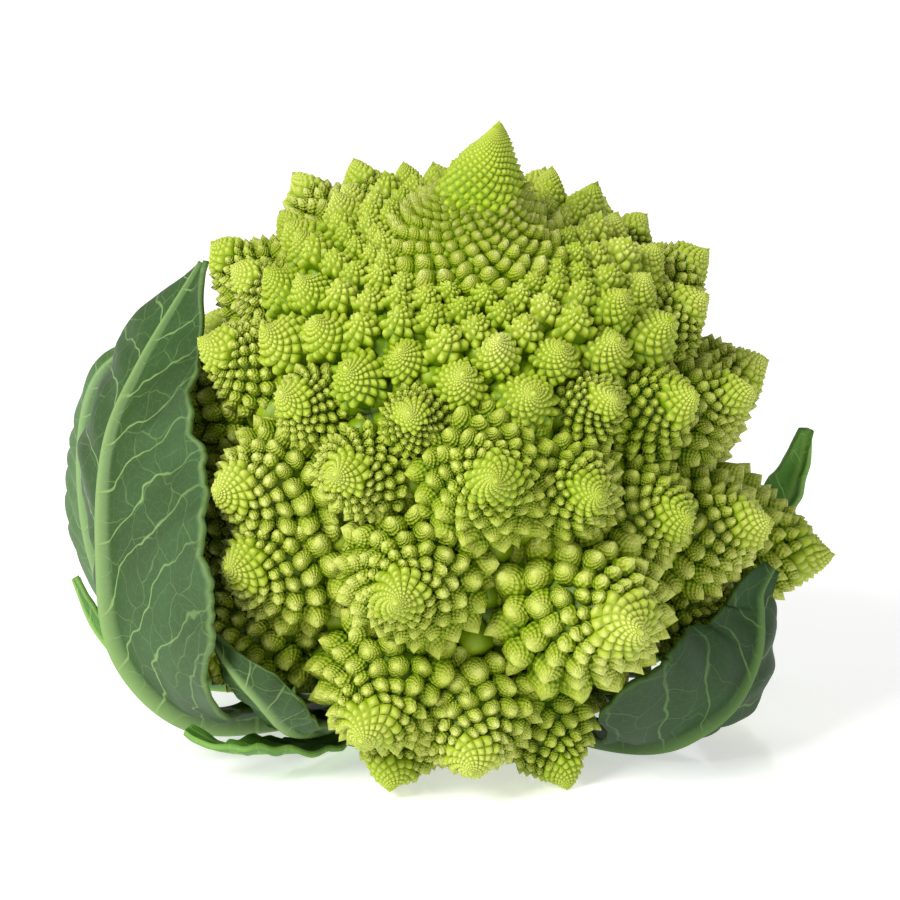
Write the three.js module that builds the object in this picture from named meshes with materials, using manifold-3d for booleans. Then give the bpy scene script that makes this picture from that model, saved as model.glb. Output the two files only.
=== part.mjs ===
// A romanesco head with its wrapper leaves, in millimetres, +Z up.
// The head leans towards -Y, as it rests on its cut stump and on its lowest front florets.
// Origin: the centre of the stump's cut face, on the surface that the head stands on.
import * as THREE from "three";
import { mergeVertices } from "three/addons/utils/BufferGeometryUtils.js";
import Module from "manifold-3d";

const wasm = await Module();
wasm.setup();

// Driving dimensions of the head, in its own frame, which has +Z along its axis.
const headLift = 6.4; // base of the head's own frame above the surface
const leanForward = 25; // degrees towards -Y
const goldenAngle = 137.50776; // degrees from one floret to the next
const firstAzimuth = 159.3; // degrees from -Y towards +X, of the lowest floret
const hand = -1; // the way round that the florets climb
const packing = 0.82; // share of a square of side "size" that one floret takes up
const smallestFloret = 5.5; // below this size they are beads on the spire
const bladeThickness = 1.4; // of every leaf

// The surface that the florets grow from, apex first.
// Each row: radius, height, floret size, upward tilt in degrees.
const growth = [
  [0, 160, 0.3, 0],
  [4.5, 151.5, 1, 6],
  [8, 143.5, 1.8, 10],
  [11, 136, 2.8, 12],
  [15, 129.5, 4.2, 14],
  [21, 125, 5.8, 16],
  [27.5, 121.5, 7.4, 17],
  [34, 118, 9.4, 17],
  [40, 110, 13.8, 17],
  [44.5, 100.5, 19.3, 15],
  [48.5, 86.5, 24.8, 13],
  [52, 69, 28.5, 11],
  [56, 52, 30.4, 8],
  [54, 39, 28.5, 5],
  [47.5, 28, 24, 3],
];
const curdBottom = 15; // height of the curd's underside, where the stump joins it
const stalkRadius = 17;
const gap = 0.3; // between pieces that touch
const finestStep = 0.02; // edges shorter than this, where florets cross, are merged
const bendFrom = 95; // above this height the head's axis bends towards +X
const bendBy = 8; // at the apex
// Florets that stand out from the rule: turn in degrees, drop along the surface in mm, size factor.
const nudges = {
  1: { turn: -2, drop: -5, grow: 0.92 },
  4: { turn: 18, drop: -4, grow: 0.95 },
  6: { turn: 8, drop: -8, grow: 0.72 },
  7: { turn: 0, drop: -6, grow: 0.9 },
  11: { turn: -2, drop: 0, grow: 1.19 },
  14: { turn: -2, drop: -6, grow: 0.78 },
  17: { turn: 3, drop: 10, grow: 1.1 },
  22: { turn: 13, drop: 5, grow: 1.35 },
  24: { turn: 0, drop: -5, grow: 1.02 },
  25: { turn: -5, drop: 6, grow: 1.1 },
  30: { turn: -5, drop: 9, grow: 1.15 },
  31: { turn: 0, drop: -13, grow: 1.35 },
  33: { turn: 9, drop: 5, grow: 1.15 },
  35: { turn: 0, drop: 0, grow: 1.1 },
  36: { turn: 0, drop: -8, grow: 1.2 },
  37: { turn: 0, drop: -6, grow: 1.15 },
  43: { turn: 0, drop: 4, grow: 1.5 },
  52: { turn: 0, drop: 0, grow: 1.3 },
};

const rad = THREE.MathUtils.degToRad;
const scatter = (k, salt) => {
  const x = Math.sin(k * 12.9898 + salt * 78.233) * 43758.5453;
  return x - Math.floor(x);
};

const arcs = [0];
for (let i = 1; i < growth.length; i += 1) {
  const [r0, z0] = growth[i - 1];
  const [r1, z1] = growth[i];
  arcs.push(arcs[i - 1] + Math.hypot(r1 - r0, z1 - z0));
}
const growthAt = (arc, column) => {
  const last = growth.length - 1;
  if (arc >= arcs[last]) return growth[last][column];
  const i = Math.max(0, arcs.findIndex((a) => a > arc) - 1);
  const share = (arc - arcs[i]) / (arcs[i + 1] - arcs[i]);
  return THREE.MathUtils.lerp(growth[i][column], growth[i + 1][column], Math.max(0, share));
};

const bendAt = (height) => bendBy * (Math.max(0, height - bendFrom) / (growth[0][1] - bendFrom)) ** 2;

// Each floret's place on the head: foot, axis and size.
function placeFlorets() {
  const placed = [];
  const slopeReach = 6;
  let arc = arcs[arcs.length - 1];
  for (let k = 0; growthAt(arc, 2) >= smallestFloret; k += 1) {
    const nudge = nudges[k] ?? { turn: 0, drop: 0, grow: 1 };
    const at = Math.min(arc + nudge.drop, arcs[arcs.length - 1]);
    const radius = growthAt(at, 0);
    const run = growthAt(at + slopeReach, 0) - growthAt(at - slopeReach, 0);
    const fall = growthAt(at - slopeReach, 1) - growthAt(at + slopeReach, 1);
    const rise = Math.atan2(run, fall) + rad(growthAt(at, 3));
    const azimuth = rad(firstAzimuth + nudge.turn + hand * k * goldenAngle);
    const away = new THREE.Vector3(Math.sin(azimuth), -Math.cos(azimuth), 0);
    const size = growthAt(at, 2) * nudge.grow * (0.94 + 0.12 * scatter(k, 1));
    const height = growthAt(at, 1);
    placed.push({
      index: k,
      size,
      foot: away.clone().multiplyScalar(radius).setZ(height).setX(away.x * radius + bendAt(height)),
      axis: away.clone().multiplyScalar(Math.cos(rise)).setZ(Math.sin(rise)),
    });
    const size0 = growthAt(arc, 2);
    arc -= (packing * size0 * size0) / (2 * Math.PI * growthAt(arc, 0));
  }
  return placed;
}

// A body of revolution whose surface is a spiral lattice of (m, n) parastichies, with a bud on each cell.
// outline(s) gives [radius, height] for s from 0, where it is widest, to 1 at the tip.
// Below the widest, the lattice's stepped edge runs down a plain neck to neckEnd, and closes at root.
function spiralBody({ m, n, outline, neckEnd, root, closeAt, budHeight, budLean }) {
  const steps = 200;
  const ladder = [{ angle: 0, at: outline(0) }];
  for (let i = 1; i <= steps; i += 1) {
    const at = outline(i / steps);
    const before = ladder[i - 1];
    const length = Math.hypot(at[0] - before.at[0], at[1] - before.at[1]);
    const radius = Math.max((at[0] + before.at[0]) / 2, 1e-3);
    ladder.push({ angle: before.angle + length / radius, at });
  }
  const wrap = (degrees) => degrees - 360 * Math.round(degrees / 360);
  const turnM = rad(wrap(m * goldenAngle));
  const turnN = rad(wrap(n * goldenAngle));
  const climb = Math.sqrt(Math.abs(turnM * turnN) / (m * n)); // makes the cells square
  const cell = Math.hypot(turnM, m * climb); // side of a cell, in radii
  const neck = m + n; // points on the neck
  const onOutline = (k) => {
    const [widest, bottom] = ladder[0].at;
    if (k < neck) return [widest * (0.8 + (0.2 * k) / neck), neckEnd + ((bottom - neckEnd) * k) / neck];
    const angle = (k - neck) * climb;
    const i = Math.max(1, ladder.findIndex((rung) => rung.angle >= angle));
    const [a, b] = [ladder[i - 1], ladder[i]];
    const share = (angle - a.angle) / (b.angle - a.angle);
    return [0, 1].map((c) => THREE.MathUtils.lerp(a.at[c], b.at[c], share));
  };
  const points = [];
  const ringPoint = ([radius, height], azimuth) =>
    points.push(new THREE.Vector3(radius * Math.cos(azimuth), radius * Math.sin(azimuth), height)) - 1;
  for (let k = 0; k <= 2 * neck || onOutline(k)[0] > closeAt; k += 1) {
    ringPoint(onOutline(k), rad(k * goldenAngle));
  }
  const faces = [];
  const corners = points.length;
  for (let k = 0; k + m + n < corners; k += 1) {
    const ring = [k, k + n, k + m + n, k + m];
    if (k < 0.8 * neck) {
      faces.push([ring[0], ring[1], ring[2]], [ring[0], ring[2], ring[3]]);
      continue;
    }
    const centre = k + (m + n) / 2;
    const [radius, height] = onOutline(centre);
    const [lower, higher] = [onOutline(centre - 1), onOutline(centre + 1)];
    const slope = Math.atan2(lower[0] - higher[0], higher[1] - lower[1]) + rad(budLean);
    const out = budHeight * cell * radius;
    const bud = [radius + out * Math.cos(slope), height + out * Math.sin(slope)];
    const middle = ringPoint(bud, rad(k * goldenAngle) + (turnM + turnN) / 2);
    ring.forEach((corner, i) => faces.push([corner, ring[(i + 1) % 4], middle]));
  }
  const apex = ringPoint([0, outline(1)[1]], 0);
  const foot = ringPoint([0, root], 0);
  const last = corners - 1;
  for (let v = 0; v < m + n; v += 1) {
    const next = v < n ? v + m : v - n; // the stepped edge round the foot, and its mirror round the tip
    faces.push([v, next, foot]);
    faces.push([last - v, last - next, apex]);
  }
  if (turnM > 0) faces.forEach((face) => face.reverse()); // faces look outwards
  const geometry = new THREE.BufferGeometry().setFromPoints(points);
  geometry.setIndex(faces.flat());
  return geometry;
}

// A closed mesh as a solid that can be joined and cut.
function solidOf(geometry, matrix = new THREE.Matrix4()) {
  const bare = geometry.clone().applyMatrix4(matrix);
  bare.deleteAttribute("normal");
  bare.deleteAttribute("uv");
  const merged = mergeVertices(bare, 1e-4);
  const vertProperties = merged.attributes.position.array;
  const triVerts = new Uint32Array(merged.index.array);
  return new wasm.Manifold(new wasm.Mesh({ numProp: 3, vertProperties, triVerts }));
}

function geometryOf(solid) {
  const { vertProperties, triVerts } = solid.getMesh();
  const geometry = new THREE.BufferGeometry();
  geometry.setAttribute("position", new THREE.BufferAttribute(vertProperties, 3));
  geometry.setIndex(new THREE.BufferAttribute(triVerts, 1));
  return geometry;
}

// How finely a floret of a given size is divided: parastichies, and the radius where its tip closes.
// The smaller ones are plain cones.
const divisions = [
  { over: 24, m: 5, n: 8, closeAt: 0.44 },
  { over: 14, m: 3, n: 5, closeAt: 0.34 },
  { over: 10, m: 2, n: 3, closeAt: 0.5 },
];
const floretRadius = 0.52; // of its size, at the widest, without its buds
const floretHeight = 0.88; // of its size, from foot to tip
const widestAt = 0.12; // of its size, above the foot

function floretSolid({ size, foot, axis, index }) {
  const up = new THREE.Vector3(0, 0, 1);
  const turn = new THREE.Quaternion().setFromUnitVectors(up, axis);
  const spin = new THREE.Quaternion().setFromAxisAngle(up, 2 * Math.PI * scatter(index, 2));
  const place = new THREE.Matrix4().compose(foot, turn.multiply(spin), new THREE.Vector3(1, 1, 1));
  const division = divisions.find((d) => size > d.over);
  const radius = floretRadius * size;
  const bottom = widestAt * size;
  const rise = (floretHeight - widestAt) * size;
  if (!division) {
    const cone = new THREE.ConeGeometry(1.2 * radius, 1.3 * rise, 5);
    return solidOf(cone.rotateX(Math.PI / 2).translate(0, 0, bottom + 0.35 * rise), place);
  }
  const { m, n, closeAt } = division;
  const outline = (s) => [radius * (1 - Math.pow(s, 1.25)), bottom + rise * s];
  const body = spiralBody({
    m,
    n,
    outline,
    neckEnd: -0.3 * size,
    root: -0.5 * size,
    closeAt: closeAt * radius,
    budHeight: 0.4,
    budLean: 18,
  });
  return solidOf(body, place);
}

// The curd's inner body, hidden by the florets that stand on it.
function coreSolid() {
  const profile = growth.slice(3).map(([r, z]) => new THREE.Vector2(r, z));
  const underside = [[38, 20], [24, curdBottom], [0, curdBottom]];
  profile.push(...underside.map(([r, z]) => new THREE.Vector2(r, z)));
  profile.unshift(new THREE.Vector2(0, growth[3][1]));
  return solidOf(new THREE.LatheGeometry(profile.reverse(), 18).rotateX(Math.PI / 2));
}

// The spire at the apex, covered in beads too small to be florets of their own.
function spireSolid() {
  const spireArc = 37; // from the apex down to the smallest florets
  const wide = growthAt(spireArc, 0);
  const low = growthAt(spireArc, 1);
  const top = growth[0][1];
  const outline = (s) => {
    const arc = (1 - s) * spireArc;
    return s < 1 ? [growthAt(arc, 0), growthAt(arc, 1)] : [0, top];
  };
  const body = spiralBody({
    m: 8,
    n: 13,
    outline,
    neckEnd: low - 6,
    root: low - 12,
    closeAt: 0.14 * wide,
    budHeight: 0.45,
    budLean: 15,
  });
  const points = body.attributes.position;
  for (let i = 0; i < points.count; i += 1) points.setX(i, points.getX(i) + bendAt(points.getZ(i)));
  return solidOf(body);
}

// The curd: all that has grown together, with any sealed hollow filled and any loose scrap left out.
function makeCurd() {
  const florets = placeFlorets().map(floretSolid);
  const fused = wasm.Manifold.union([coreSolid(), spireSolid(), ...florets]);
  const [whole] = fused.simplify(finestStep).decompose().sort((a, b) => b.volume() - a.volume());
  const green = new THREE.MeshStandardMaterial({ color: 0xa9c94a, roughness: 0.6, metalness: 0 });
  const curd = new THREE.Mesh(geometryOf(whole), green);
  curd.name = "curd";
  return curd;
}

// A leaf: a thin blade that bends about its midrib, with toothed, waved edges and a rib on its outer face.
// rib: its points from the root to the tip; face: where the inner face looks, at the root and at the tip;
// halves: for each side, the widths along the rib, and its bend in degrees, + towards the inner face;
// columns: how many divide each half.
function leafGeometry({ rib, face, halves, waves, waveHeight, teeth, ribHeight, rows, columns }) {
  const ribPoints = rib.map((p) => new THREE.Vector3(...p));
  const curve = new THREE.CatmullRomCurve3(ribPoints, false, "centripetal");
  const [faceRoot, faceTip] = face.map((f) => new THREE.Vector3(...f).normalize());
  const along = (values, s) => {
    if (values.length === 1) return values[0];
    const x = s * (values.length - 1);
    const i = Math.min(values.length - 2, Math.floor(x));
    return THREE.MathUtils.lerp(values[i], values[i + 1], x - i);
  };
  const middle = (s, column) => {
    const tangent = curve.getTangentAt(s);
    const inward = faceRoot.clone().lerp(faceTip, s);
    inward.addScaledVector(tangent, -inward.dot(tangent)).normalize();
    const across = new THREE.Vector3().crossVectors(tangent, inward);
    const side = Math.sign(column);
    const { width, bend } = halves[column < 0 ? 0 : 1];
    const serration = 1 + 0.05 * Math.cos(2 * Math.PI * teeth * s) * Math.min(1, 6 * (1 - s));
    const half = along(width, s) * serration;
    const ribWidth = Math.min(0.3 * half, 1.2 + 2.6 * (1 - s));
    const d = column === 0 ? 0 : ribWidth + ((half - ribWidth) * (Math.abs(column) - 1)) / (columns - 1);
    const turn = rad(along(bend, s)) / half;
    const sideways = Math.abs(turn) < 1e-4 ? d : Math.sin(turn * d) / turn;
    const inwards = Math.abs(turn) < 1e-4 ? 0 : (1 - Math.cos(turn * d)) / turn;
    const wave = Math.sin(2 * Math.PI * waves * s + side) * Math.min(1, 4 * s);
    const ripple = waveHeight * (d / half) ** 2 * wave;
    const onRib = curve.getPointAt(s);
    return onRib.addScaledVector(across, side * sideways).addScaledVector(inward, inwards + ripple);
  };
  const points = [];
  const wide = 2 * columns + 1;
  for (const outer of [0, 1]) {
    for (let row = 0; row <= rows; row += 1) {
      for (let column = -columns; column <= columns; column += 1) {
        const s = row / rows;
        const step = 0.004;
        const up = middle(Math.min(1, s + step), column).sub(middle(Math.max(0, s - step), column));
        const left = column > -columns ? column - 1 : column;
        const right = column < columns ? column + 1 : column;
        const normal = middle(s, right).sub(middle(s, left)).cross(up).normalize();
        const ridge = outer && column === 0 ? ribHeight * (1 - 0.85 * s) : 0;
        const offset = outer ? -(bladeThickness / 2 + ridge) : bladeThickness / 2;
        points.push(middle(s, column).addScaledVector(normal, offset));
      }
    }
  }
  const faces = [];
  const at = (outer, row, column) => outer * wide * (rows + 1) + row * wide + column;
  const quad = (a, b, c, d) => faces.push(a, b, c, a, c, d);
  const edge = wide - 1;
  for (let row = 0; row < rows; row += 1) {
    const next = row + 1;
    for (let column = 0; column < edge; column += 1) {
      const beside = column + 1;
      quad(at(0, row, column), at(0, row, beside), at(0, next, beside), at(0, next, column));
      faces.push(at(1, row, column), at(1, next, beside), at(1, row, beside));
      faces.push(at(1, row, column), at(1, next, column), at(1, next, beside));
    }
    quad(at(0, row, 0), at(0, next, 0), at(1, next, 0), at(1, row, 0));
    quad(at(1, row, edge), at(1, next, edge), at(0, next, edge), at(0, row, edge));
  }
  for (let column = 0; column < edge; column += 1) {
    quad(at(1, 0, column), at(1, 0, column + 1), at(0, 0, column + 1), at(0, 0, column));
    quad(at(0, rows, column), at(0, rows, column + 1), at(1, rows, column + 1), at(1, rows, column));
  }
  const geometry = new THREE.BufferGeometry().setFromPoints(points);
  geometry.setIndex(faces);
  return geometry;
}

const head = new THREE.Group();
head.rotation.set(rad(leanForward), 0, 0);
head.position.set(0, -headLift * Math.tan(rad(leanForward)), headLift);
head.add(makeCurd());

// The stump that carried the head, cut off level with the surface that it stands on.
function makeStalk(lean) {
  const bar = new THREE.CylinderGeometry(stalkRadius, stalkRadius * 0.94, 2 * curdBottom, 24);
  bar.rotateX(Math.PI / 2).translate(0, 0, -gap);
  const solid = solidOf(bar, lean).trimByPlane([0, 0, 1], 0);
  const pale = new THREE.MeshStandardMaterial({ color: 0xcfdba0, roughness: 0.6, metalness: 0 });
  const stalk = new THREE.Mesh(geometryOf(solid), pale);
  stalk.name = "stalk";
  return stalk;
}

function makeLeaf({ name, colour, ...shape }) {
  const skin = new THREE.MeshStandardMaterial({ color: colour, roughness: 0.55, metalness: 0 });
  const leaf = new THREE.Mesh(leafGeometry(shape), skin);
  leaf.name = name;
  return leaf;
}

// The leaves, each by its midrib from the stump outwards. Those of the left wrap the head from that side.
const leaves = [
  {
    name: "leaf_left_outer",
    colour: 0x7d9c72,
    rib: [
      [-17.5, -14, 8],
      [-38, -40, 10],
      [-62.5, -56, 13.5],
      [-76.5, -59, 28.5],
      [-80.5, -54, 52],
      [-79.5, -46, 75],
      [-73.5, -38, 89.5],
      [-60, -24, 112],
    ],
    face: [[0, 0, 1], [0.7, 0.65, -0.3]],
    halves: [
      { width: [4, 4, 6, 10, 34, 46, 43, 37, 26, 14, 3], bend: [60, 20, 5, 0, -10, -20] },
      { width: [4, 4, 5, 6, 8, 13, 18, 24, 27, 20, 3], bend: [60, 30, 55, 45, 25] },
    ],
    waves: 5,
    waveHeight: 1.6,
    teeth: 13,
    ribHeight: 5,
    rows: 30,
    columns: 4,
  },
  {
    name: "leaf_left_back",
    colour: 0x5f8a55,
    rib: [[-20, 6, 6], [-50, 4, 8], [-78, 0, 16], [-88.5, -2, 38], [-91, 0, 66], [-87.5, 3, 80], [-80, 6, 87]],
    face: [[0, 0, 1], [0.75, 0.65, 0]],
    halves: [
      { width: [4, 5, 9, 15, 17, 15, 9, 2], bend: [20] },
      { width: [4, 5, 9, 15, 17, 15, 9, 2], bend: [40] },
    ],
    waves: 2.5,
    waveHeight: 1.5,
    teeth: 6,
    ribHeight: 3,
    rows: 16,
    columns: 3,
  },
  {
    name: "leaf_left_inner",
    colour: 0x5d9440,
    rib: [[-20, -3, 6], [-50, -12, 8], [-76, -20, 14], [-86, -19, 23], [-92, -15, 35]],
    face: [[0, 0, 1], [0.8, 0.4, 0.3]],
    halves: [
      { width: [4, 6, 9, 9, 2], bend: [30] },
      { width: [4, 6, 9, 9, 2], bend: [30] },
    ],
    waves: 2,
    waveHeight: 0.8,
    teeth: 5,
    ribHeight: 2.5,
    rows: 12,
    columns: 2,
  },
  {
    name: "leaf_left_small",
    colour: 0x6f9a68,
    rib: [[-10, -26, 7.6], [-26, -46, 9], [-38, -68, 13], [-44, -82, 23], [-50, -85, 31], [-55, -80, 37.5]],
    face: [[0, 0, 1], [0.4, 0.8, 0.3]],
    halves: [
      { width: [3, 4, 6, 9, 9, 7, 1.5], bend: [0, 20, 30, 30] },
      { width: [3, 4, 5, 7, 7, 5, 1.5], bend: [0, 20, 30, 30] },
    ],
    waves: 3,
    waveHeight: 0.8,
    teeth: 7,
    ribHeight: 2.5,
    rows: 15,
    columns: 2,
  },
  {
    name: "leaf_left_low",
    colour: 0x5f9a3c,
    rib: [[-14, -20, 2.8], [-30, -45, 3.2], [-43, -62, 6.6], [-54, -69, 9], [-62, -67, 12.5]],
    face: [[0, 0, 1], [0.1, 0.1, 1]],
    halves: [
      { width: [3, 5, 9, 10, 8, 2], bend: [20] },
      { width: [3, 4, 6, 7, 6, 2], bend: [10] },
    ],
    waves: 3,
    waveHeight: 0.8,
    teeth: 6,
    ribHeight: 1.5,
    rows: 12,
    columns: 2,
  },
  {
    name: "leaf_right_front",
    colour: 0x5f8a63,
    rib: [
      [14, -16, 5],
      [31, -40, 4],
      [44, -52, 5.5],
      [52, -58.5, 9.5],
      [61, -59.5, 16.5],
      [67, -55.5, 27],
      [68, -51.5, 35.5],
      [68, -50, 40],
      [71, -48, 45.5],
    ],
    face: [[0, 0, 1], [-0.5, 0.85, 0.1]],
    halves: [
      { width: [4, 4.5, 7.5, 14, 16, 12, 8, 2], bend: [30, 40, 30] },
      { width: [4, 4, 5, 13, 30, 27, 14, 2], bend: [40, 20, 10, 0] },
    ],
    waves: 4,
    waveHeight: 1.2,
    teeth: 10,
    ribHeight: 4,
    rows: 26,
    columns: 4,
  },
  {
    name: "leaf_right_back",
    colour: 0x5f9457,
    rib: [[20, 6, 6], [50, 24, 8], [71, 30, 18], [79, 24, 40], [83, 18, 54], [84.5, 15, 65]],
    face: [[0, 0, 1], [-0.35, -0.9, 0.1]],
    halves: [
      { width: [4, 7, 12, 13, 8, 1.5], bend: [20] },
      { width: [4, 6, 8, 6, 3, 1.5], bend: [30] },
    ],
    waves: 2.5,
    waveHeight: 1,
    teeth: 7,
    ribHeight: 2.5,
    rows: 15,
    columns: 3,
  },
  {
    name: "leaf_right_small",
    colour: 0x5f9457,
    rib: [[20, -6, 5], [40, -22, 5], [54, -33, 6], [62, -36, 9.5], [69, -36, 13.5]],
    face: [[0, 0, 1], [-0.4, 0.2, 0.85]],
    halves: [
      { width: [3, 5, 7, 6, 1.5], bend: [30] },
      { width: [3, 5, 7, 6, 1.5], bend: [30] },
    ],
    waves: 2,
    waveHeight: 0.6,
    teeth: 5,
    ribHeight: 2,
    rows: 12,
    columns: 2,
  },
];

head.updateMatrix();
const part = new THREE.Group();
part.add(head, makeStalk(head.matrix), ...leaves.map(makeLeaf));
export default part;
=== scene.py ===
import math
from functools import partial
import bpy
import numpy as np
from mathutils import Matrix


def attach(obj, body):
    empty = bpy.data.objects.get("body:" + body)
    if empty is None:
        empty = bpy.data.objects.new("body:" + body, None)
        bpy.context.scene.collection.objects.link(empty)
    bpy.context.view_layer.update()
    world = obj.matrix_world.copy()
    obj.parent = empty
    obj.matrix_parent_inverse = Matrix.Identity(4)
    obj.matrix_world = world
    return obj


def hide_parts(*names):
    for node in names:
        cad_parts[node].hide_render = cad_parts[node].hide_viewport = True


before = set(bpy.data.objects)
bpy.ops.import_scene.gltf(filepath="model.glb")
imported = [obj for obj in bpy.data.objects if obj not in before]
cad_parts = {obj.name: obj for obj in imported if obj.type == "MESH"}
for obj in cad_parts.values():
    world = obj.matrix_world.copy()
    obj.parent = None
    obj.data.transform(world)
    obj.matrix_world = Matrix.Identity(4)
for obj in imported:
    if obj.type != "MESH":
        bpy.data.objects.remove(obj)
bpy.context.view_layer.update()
print("stage: frame loaded")

# Driving dimensions of the head, as in the construction of its solids, but with florets down to
# "smallest", which the solids leave out
head = {
    "lift": 6.4,  # base of the head's own frame above the table
    "lean": 25.0,  # degrees towards -Y
    "golden": 137.50776,  # degrees from one floret to the next
    "first": 159.3,  # azimuth of the lowest floret, degrees from -Y towards +X
    "hand": -1,  # the way round that the florets climb
    "packing": 0.82,  # share of a square of side "size" that one floret takes up
    "smallest": 2.0,  # smaller florets are beads on the spire
    "spireArc": 22.0,  # length of the spire's side, down from the apex
    "bendFrom": 95.0,  # above this height the axis bends towards +X
    "bendBy": 8.0,  # at the apex
}
# The surface that the florets grow from, apex first: radius, height, floret size, tilt upwards in degrees
growth = np.array(
    [
        [0, 160, 0.3, 0],
        [4.5, 151.5, 1, 6],
        [8, 143.5, 1.8, 10],
        [11, 136, 2.8, 12],
        [15, 129.5, 4.2, 14],
        [21, 125, 5.8, 16],
        [27.5, 121.5, 7.4, 17],
        [34, 118, 9.4, 17],
        [40, 110, 13.8, 17],
        [44.5, 100.5, 19.3, 15],
        [48.5, 86.5, 24.8, 13],
        [52, 69, 28.5, 11],
        [56, 52, 30.4, 8],
        [54, 39, 28.5, 5],
        [47.5, 28, 24, 3],
    ]
)
# Florets that stand out from the rule: turn in degrees, drop along the surface in mm, size factor
nudges = {
    1: (-2, -5, 0.92),
    4: (18, -4, 0.95),
    6: (8, -8, 0.72),
    7: (0, -6, 0.9),
    11: (-2, 0, 1.19),
    14: (-2, -6, 0.78),
    17: (3, 10, 1.1),
    22: (13, 5, 1.35),
    24: (0, -5, 1.02),
    25: (-5, 6, 1.1),
    30: (-5, 9, 1.15),
    31: (0, -13, 1.35),
    33: (9, 5, 1.15),
    35: (0, 0, 1.1),
    36: (0, -8, 1.2),
    37: (0, -6, 1.15),
    43: (0, 4, 1.5),
    52: (0, 0, 1.3),
}
arcs = np.concatenate([[0.0], np.cumsum(np.hypot(*np.diff(growth[:, :2], axis=0).T))])


# growth(arc) by straight lines between the rows; column 0 radius, 1 height, 2 size, 3 tilt
def growthAt(arc, column):
    return np.interp(arc, arcs, growth[:, column])


# bend = bendBy ((height - bendFrom) / (apex - bendFrom))^2, none below bendFrom
def bendAt(height):
    share = np.maximum(0.0, height - head["bendFrom"]) / (growth[0, 1] - head["bendFrom"])
    return head["bendBy"] * share**2


# frac(43758.5453 sin(12.9898 k + 78.233 salt)), a fixed draw from 0 to 1
def scatter(k, salt):
    x = math.sin(k * 12.9898 + salt * 78.233) * 43758.5453
    return x - math.floor(x)


# The turn that takes +Z to the axis by the shortest way: I + V + V V / (1 + z),
# V being the cross matrix of +Z x axis
def turnTo(axis):
    x, y, z = axis
    v = np.array([[0, 0, x], [0, 0, y], [-x, -y, 0]])
    return np.eye(3) + v + v @ v / (1 + z)


# Rotation about +Z by an angle in radians
def spinBy(angle):
    c, s = math.cos(angle), math.sin(angle)
    return np.array([[c, -s, 0], [s, c, 0], [0, 0, 1]])


# Each floret's foot, turn and size, from the lowest up: azimuth = first + hand k golden,
# and after each one the arc shrinks by packing size^2 / (2 pi radius)
def placeFlorets():
    placed = []
    arc = arcs[-1]
    reach = 6  # mm of arc to each side that give the surface's slope
    k = 0
    while growthAt(arc, 2) >= head["smallest"]:
        turn, drop, grow = nudges.get(k, (0, 0, 1))
        at = min(arc + drop, arcs[-1])
        run = growthAt(at + reach, 0) - growthAt(at - reach, 0)
        fall = growthAt(at - reach, 1) - growthAt(at + reach, 1)
        rise = math.atan2(run, fall) + math.radians(growthAt(at, 3))
        azimuth = math.radians(head["first"] + turn + head["hand"] * k * head["golden"])
        away = np.array([math.sin(azimuth), -math.cos(azimuth), 0.0])
        up = np.array([0, 0, 1.0])
        height = growthAt(at, 1)
        spin = spinBy(2 * math.pi * scatter(k, 2))
        placed.append(
            {
                "index": k,
                "size": growthAt(at, 2) * grow * (0.94 + 0.12 * scatter(k, 1)),
                "foot": away * growthAt(at, 0) + up * height + np.array([bendAt(height), 0, 0]),
                "turn": turnTo(away * math.cos(rise) + up * math.sin(rise)) @ spin,
            }
        )
        arc -= head["packing"] * growthAt(arc, 2) ** 2 / (2 * math.pi * growthAt(arc, 0))
        k += 1
    return placed


# A soft step from 0 to 1: t^2 (3 - 2 t)
def smooth(t):
    t = np.clip(t, 0, 1)
    return t * t * (3 - 2 * t)


# A golden-angle lattice of (m, n) parastichies: the turns of its two steps and the climb of one point,
# climb = sqrt(|turnM turnN| / (m n)), which makes its cells square
def lattice(m, n):
    turns = [math.radians((q * head["golden"] + 180) % 360 - 180) for q in (m, n)]
    return turns[0], turns[1], math.sqrt(abs(turns[0] * turns[1]) / (m * n))


# Azimuth and latitude as steps (a, b) along a lattice's two families: whole at its points
def latticeSteps(azimuth, latitude, m, n):
    turnM, turnN, climb = lattice(m, n)
    scale = turnM * n * climb - turnN * m * climb
    a = (azimuth * n * climb - latitude * turnN) / scale
    b = (latitude * turnM - azimuth * m * climb) / scale
    return np.stack([a, b], axis=-1)


# Points around the Z axis: (r cos azimuth, r sin azimuth, z)
def around(r, z, azimuth):
    return np.stack([r * np.cos(azimuth), r * np.sin(azimuth), z], axis=1)


# Conformal latitude along an outline: the running sum of its steps, each over the local radius
def latitudes(radius, height):
    length = np.hypot(np.diff(radius), np.diff(height))
    mean = np.maximum((radius[1:] + radius[:-1]) / 2, 1e-4)
    return np.concatenate([[0], np.cumsum(length / mean)])


# A bead on a cell of the lattice
bead = {
    "valley": 0.15,  # depth of the cell's corners, in cell sides
    "reach": 0.62,  # of the ring of shoulders, in half diagonals of the cell
    "lift": 0.5,  # of the shoulders, in heights of the crown
    # the shoulders' painted shade, between that of the valleys and the crowns' painted light
    "shoulderTone": 0.55,
    "unlike": 0.10,  # the crowns' heights vary by this share
}


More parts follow.
